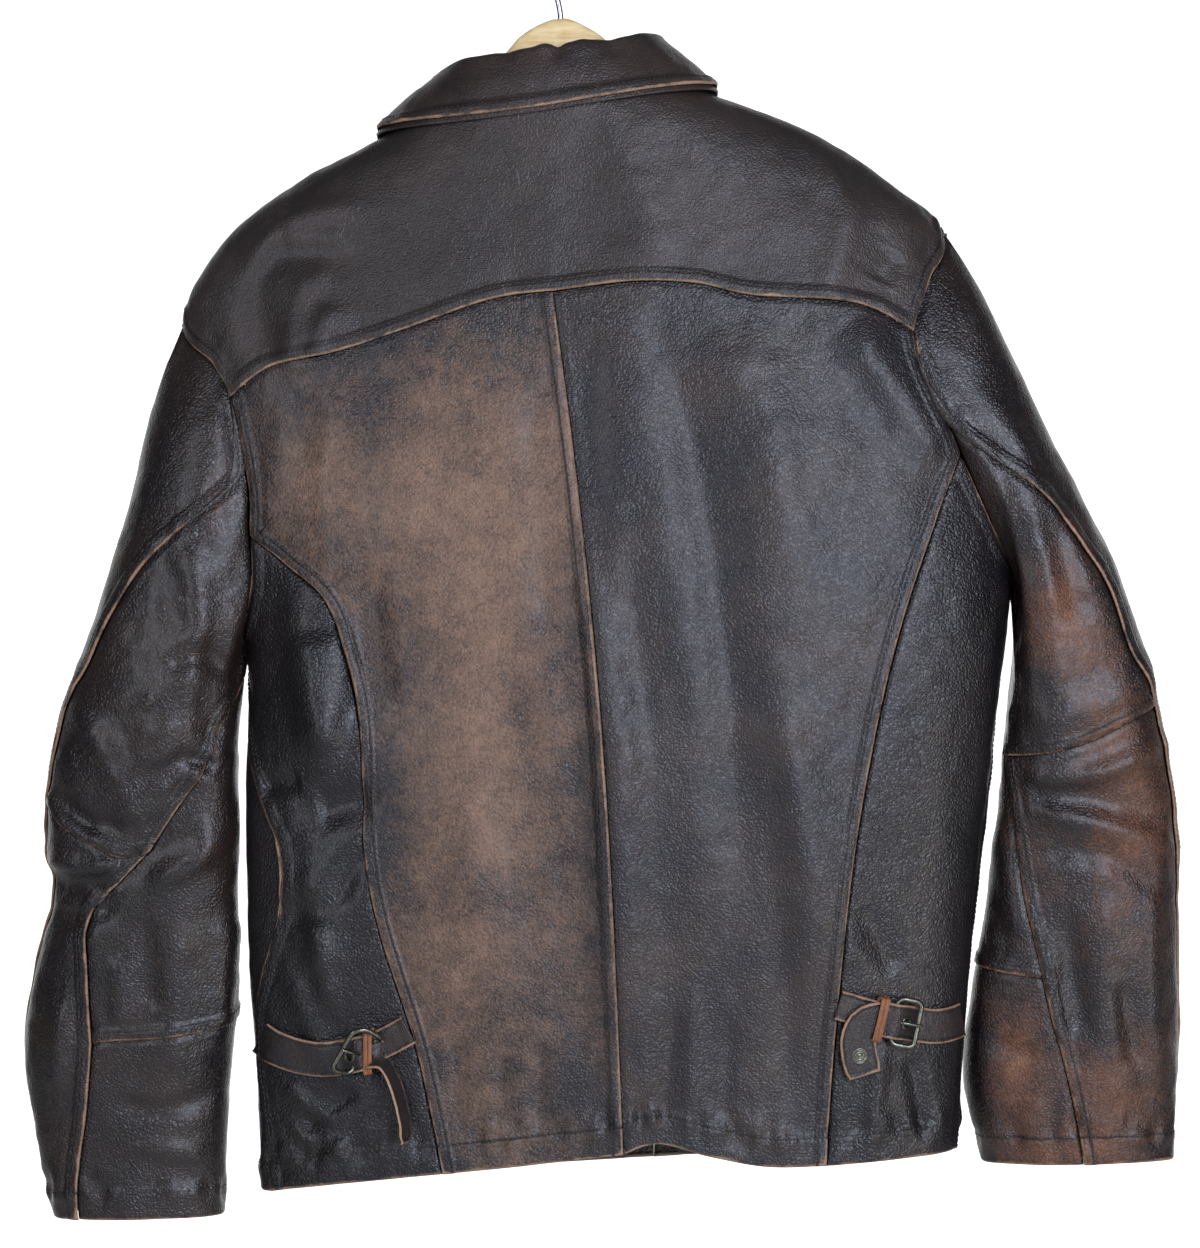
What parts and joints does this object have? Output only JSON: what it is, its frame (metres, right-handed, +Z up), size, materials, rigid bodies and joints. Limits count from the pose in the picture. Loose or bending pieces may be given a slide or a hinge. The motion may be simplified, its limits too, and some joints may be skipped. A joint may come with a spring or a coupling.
{
  "type": "worn leather coat on a wooden clothes hanger",
  "caption": "Hip-length worn leather coat with a fold-over collar, wide yoke, panelled back and sleeves and buckled waist adjusters, hung hollow on a plain wooden hanger.",
  "frame": {"origin": "inner crest of the hanger's hook, where the rail that carries it touches", "axes": "+Z up, +Y out of the back of the coat, -Y out of its front, +X towards the wearer's left"},
  "size_m": [0.8105, 0.174, 0.9197],
  "materials": {
    "back_leather": "rubbed tan-brown over near black, soft sheen",
    "dark_leather": "near black with a bluish sheen",
    "sleeve_leather": "glossy reddish dark brown",
    "yoke_leather": "warm grey-brown with fine scratches",
    "collar_leather": "dark brown with worn tan edges",
    "strap_leather": "dark brown, worn edges",
    "keeper_leather": "bare tan",
    "aged_metal": "aged, dull",
    "button_horn": "satin",
    "maple": "clear varnish",
    "hook_wire": "zinc plated wire"
  },
  "bodies": {
    "root": {"back_left": "back_leather", "side_left": "dark_leather", "front_left": "dark_leather", "sleeve_left_top": "sleeve_leather", "sleeve_left_elbow": "sleeve_leather", "sleeve_left_forearm": "sleeve_leather", "sleeve_left_under_upper": "sleeve_leather", "sleeve_left_under_lower": "sleeve_leather", "strap_long_left": "strap_leather", "strap_short_left": "strap_leather", "keeper_left": "keeper_leather", "buckle_frame_left": "aged_metal", "buckle_prong_left": "aged_metal", "eyelet_left": "aged_metal", "back_right": "back_leather", "side_right": "dark_leather", "front_right": "dark_leather", "sleeve_right_top": "sleeve_leather", "sleeve_right_elbow": "sleeve_leather", "sleeve_right_forearm": "sleeve_leather", "sleeve_right_under_upper": "sleeve_leather", "sleeve_right_under_lower": "sleeve_leather", "strap_long_right": "strap_leather", "strap_short_right": "strap_leather", "keeper_right": "keeper_leather", "buckle_frame_right": "aged_metal", "buckle_prong_right": "aged_metal", "eyelet_right": "aged_metal", "snap_right": "aged_metal", "yoke": "yoke_leather", "collar_top": "collar_leather", "collar_under": "collar_leather", "button_1": "button_horn", "button_2": "button_horn", "button_3": "button_horn", "button_4": "button_horn", "button_5": "button_horn", "hanger_wood": "maple", "hanger_hook": "hook_wire"}
  },
  "joints": []
}
